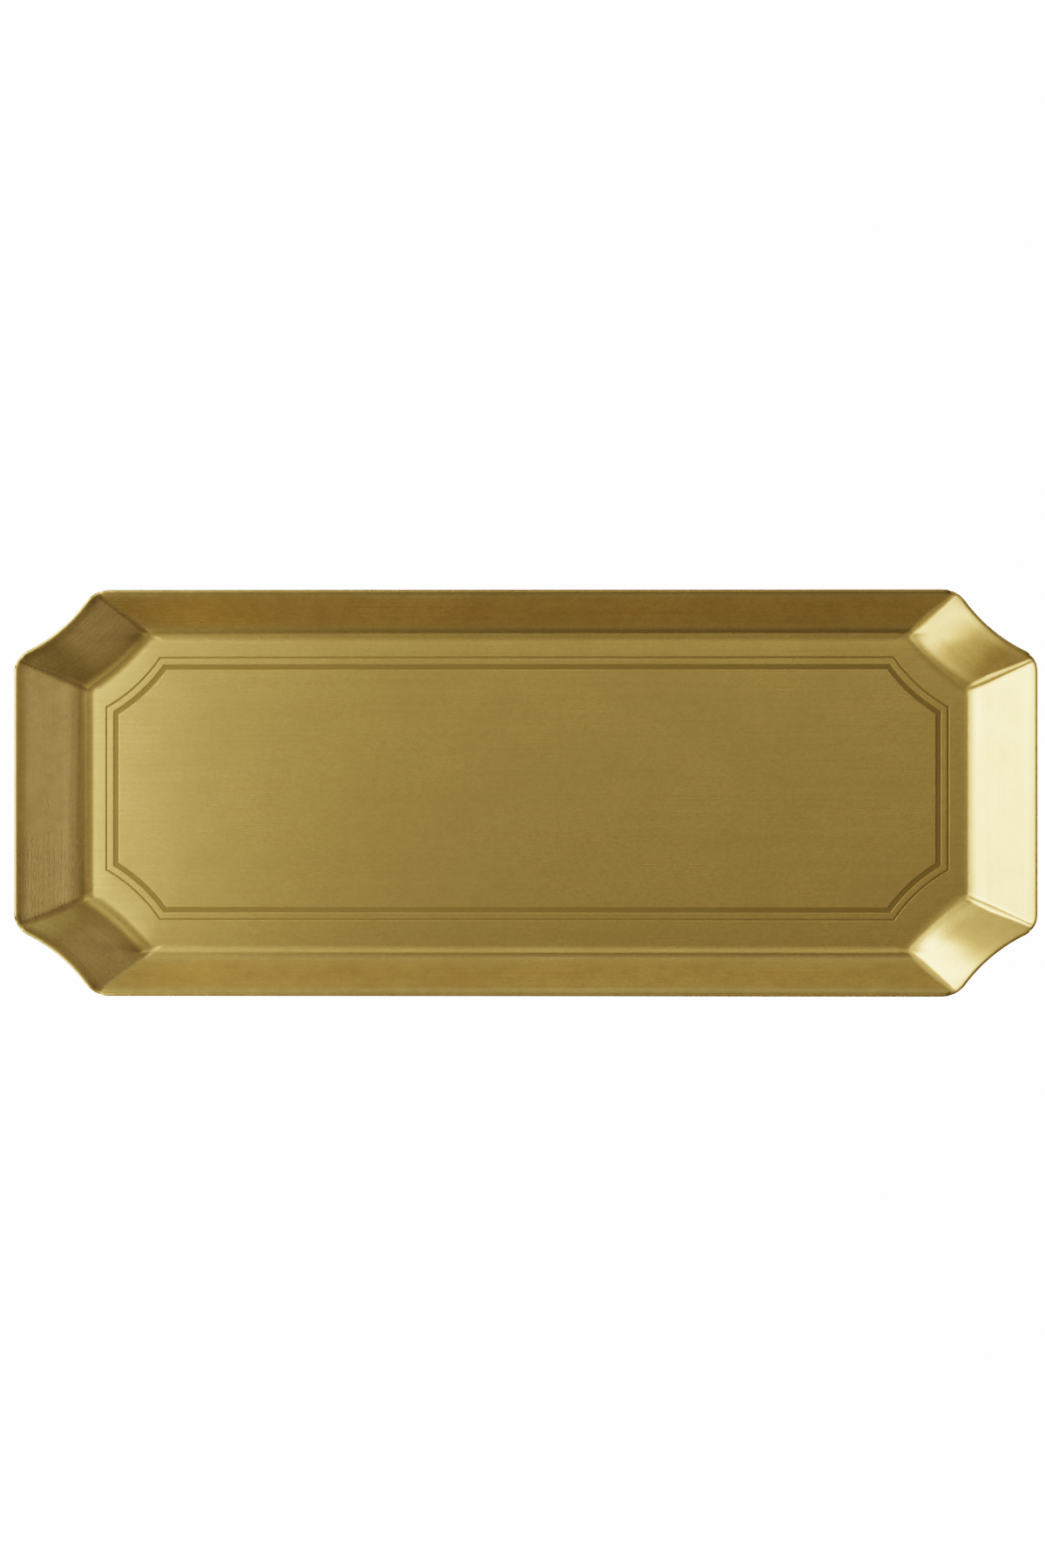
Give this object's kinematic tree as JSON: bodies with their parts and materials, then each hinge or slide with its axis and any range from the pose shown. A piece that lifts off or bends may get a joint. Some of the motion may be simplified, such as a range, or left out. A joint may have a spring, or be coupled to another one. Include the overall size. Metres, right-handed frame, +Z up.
{
  "type": "rectangular metal tray",
  "caption": "Long shallow tray pressed from brass sheet, with sloping walls, hollow-cut corners, an etched line border on its floor and felt pads underneath.",
  "frame": {"origin": "under the middle of the tray, on the surface that its pads stand on", "axes": "+X along the long side, +Y across the tray towards its back long side, +Z up"},
  "size_m": [0.33, 0.131, 0.014],
  "materials": {
    "brass": "fine brushed brass with a satin sheen, slightly aged",
    "felt": "pressed wool felt"
  },
  "bodies": {
    "root": {"tray_body": "brass", "felt_pad_front_left": "felt", "felt_pad_front_right": "felt", "felt_pad_back_left": "felt", "felt_pad_back_right": "felt"}
  },
  "joints": []
}
